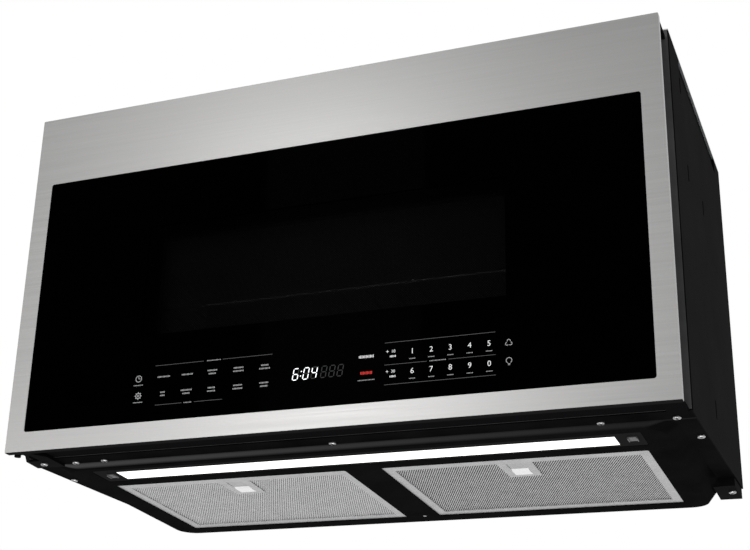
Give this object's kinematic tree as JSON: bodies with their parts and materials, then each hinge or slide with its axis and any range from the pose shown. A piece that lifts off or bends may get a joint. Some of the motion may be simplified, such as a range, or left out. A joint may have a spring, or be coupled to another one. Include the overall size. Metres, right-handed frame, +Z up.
{
  "type": "over the range microwave oven",
  "caption": "Microwave oven for mounting above a cooktop: steel framed glass door hinged at the left, turntable, rack, vent blower, grease filters and cooktop light.",
  "frame": {"origin": "middle of the bounding box's base: under the housing's middle at the pan's underside", "axes": "+X to the right seen from the front, +Y to the rear towards the wall, +Z up; the door faces -Y"},
  "size_m": [0.759, 0.41, 0.4685],
  "materials": {
    "stainless": "brushed, satin",
    "black_glass": "polished, printed black behind",
    "black_paint": "fine texture, semi matt",
    "galvanised": "galvanised, dull",
    "cavity_enamel": "smooth grey enamel",
    "door_plastic": "moulded, fine grain",
    "screen_steel": "perforated, black",
    "board": "circuit board, satin",
    "filter_aluminium": "rolled, satin",
    "filter_mesh": "expanded mesh",
    "bright_steel": "bright zinc",
    "lamp_white": "frosted",
    "lamp_black": "moulded",
    "mica": "mica sheet",
    "oven_light": "clear cap",
    "motor_steel": "laminations and plated cover",
    "white_plastic": "moulded nylon",
    "clear_glass": "clear",
    "chrome_wire": "plated",
    "heater_sheath": "dull nickel alloy",
    "charcoal": "carbon grains in a frame",
    "spring_steel": "bright wire",
    "black_plastic": "moulded"
  },
  "bodies": {
    "housing": {"front_frame": "black_paint", "right_side_panel": "black_paint", "left_side_panel": "black_paint", "top_cover": "galvanised", "back_panel": "galvanised", "base_pan": "black_paint", "base_plate": "galvanised", "rear_foot": "black_paint", "housing_screws": "bright_steel", "lamp_holder": "lamp_black", "lamp_lens": "lamp_white", "lamp_board": "board", "oven_cavity": "cavity_enamel", "waveguide_cover": "mica", "oven_lamp": "oven_light", "turntable_motor": "motor_steel", "convection_cover": "cavity_enamel", "convection_housing": "galvanised", "convection_heater": "heater_sheath", "convection_motor": "motor_steel", "magnetron": "motor_steel", "inverter_board": "board", "magnetron_fan_housing": "black_plastic", "relay_board": "board", "vent_blower_housing": "galvanised", "vent_blower_motor": "motor_steel", "exhaust_adapter": "galvanised", "charcoal_filter": "charcoal", "cord_bush": "black_plastic", "lower_hinge_bracket": "black_paint", "upper_hinge_bracket": "black_paint", "interlock_bracket": "white_plastic", "interlock_switches": "black_plastic"},
    "door": {"door_frame": "stainless", "door_glass": "black_glass", "door_body": "door_plastic", "choke_panel": "screen_steel", "choke_cover": "black_plastic", "door_screen": "screen_steel", "touch_board": "board", "latch_spring": "spring_steel"},
    "latch": {"latch_hooks": "white_plastic"},
    "turntable": {"turntable_coupler": "white_plastic"},
    "tray": {"glass_tray": "clear_glass"},
    "ring": {"roller_ring": "black_plastic"},
    "first_roller": {"roller_1": "white_plastic"},
    "second_roller": {"roller_2": "white_plastic"},
    "third_roller": {"roller_3": "white_plastic"},
    "rack": {"wire_rack": "chrome_wire"},
    "right_filter": {"right_filter_frame": "filter_aluminium", "right_filter_mesh": "filter_mesh", "right_filter_tab": "bright_steel"},
    "left_filter": {"left_filter_frame": "filter_aluminium", "left_filter_mesh": "filter_mesh", "left_filter_tab": "bright_steel"},
    "damper": {"damper_flap": "galvanised"},
    "blower": {"blower_shaft": "spring_steel", "blower_wheels": "black_plastic"},
    "cooling_fan": {"magnetron_fan": "white_plastic"},
    "oven_fan": {"convection_fan": "galvanised"}
  },
  "joints": [
    {"name": "door_hinge", "type": "hinge", "parent": "housing", "child": "door", "pos_m": [-0.368, -0.192, 0.0015], "axis": [0, 0, -1], "range_deg": [0, 100]},
    {"name": "latch_slide", "type": "slide", "parent": "door", "child": "latch", "axis": [0, 0, 1], "range_m": [0, 0.005], "stiffness_N_per_m": 200, "springref_m": -0.01, "deforming": ["latch_spring"]},
    {"name": "turntable_spin", "type": "hinge", "parent": "housing", "child": "turntable", "pos_m": [-0.038, 0.0017, 0.072], "axis": [0, 0, 1], "continuous": true},
    {"name": "tray_lift", "type": "slide", "parent": "turntable", "child": "tray", "axis": [0, 0, 1], "range_m": [0, 0.025]},
    {"name": "ring_spin", "type": "hinge", "parent": "housing", "child": "ring", "pos_m": [-0.038, 0.0017, 0.072], "axis": [0, 0, 1], "continuous": true},
    {"name": "rack_lift", "type": "slide", "parent": "housing", "child": "rack", "axis": [0, 0, 1], "range_m": [0, 0.015]},
    {"name": "right_filter_slide", "type": "slide", "parent": "housing", "child": "right_filter", "axis": [1, 0, 0], "range_m": [0, 0.01]},
    {"name": "left_filter_slide", "type": "slide", "parent": "housing", "child": "left_filter", "axis": [-1, 0, 0], "range_m": [0, 0.01]},
    {"name": "damper_swing", "type": "hinge", "parent": "housing", "child": "damper", "pos_m": [0, 0.1241, 0.4495], "axis": [-1, 0, 0], "range_deg": [0, 75]},
    {"name": "blower_spin", "type": "hinge", "parent": "housing", "child": "blower", "pos_m": [0, 0.11, 0.372], "axis": [1, 0, 0], "continuous": true},
    {"name": "cooling_fan_spin", "type": "hinge", "parent": "housing", "child": "cooling_fan", "pos_m": [0.316, 0.18, 0.226], "axis": [0, 1, 0], "continuous": true},
    {"name": "oven_fan_spin", "type": "hinge", "parent": "housing", "child": "oven_fan", "pos_m": [-0.038, 0.17, 0.192], "axis": [0, 1, 0], "continuous": true},
    {"name": "first_roller_spin", "type": "hinge", "parent": "ring", "child": "first_roller", "pos_m": [0.065, 0.0017, 0.081], "axis": [1, 0, 0], "continuous": true},
    {"name": "second_roller_spin", "type": "hinge", "parent": "ring", "child": "second_roller", "pos_m": [-0.0895, 0.0909, 0.081], "axis": [-0.5, 0.866, 0], "continuous": true},
    {"name": "third_roller_spin", "type": "hinge", "parent": "ring", "child": "third_roller", "pos_m": [-0.0895, -0.0875, 0.081], "axis": [-0.5, -0.866, 0], "continuous": true}
  ],
  "couplings": [
    {"joint": "ring_spin", "follows": "turntable_spin", "ratio": 0.5},
    {"joint": "first_roller_spin", "follows": "turntable_spin", "ratio": -5.7222},
    {"joint": "second_roller_spin", "follows": "turntable_spin", "ratio": -5.7222},
    {"joint": "third_roller_spin", "follows": "turntable_spin", "ratio": -5.7222}
  ]
}
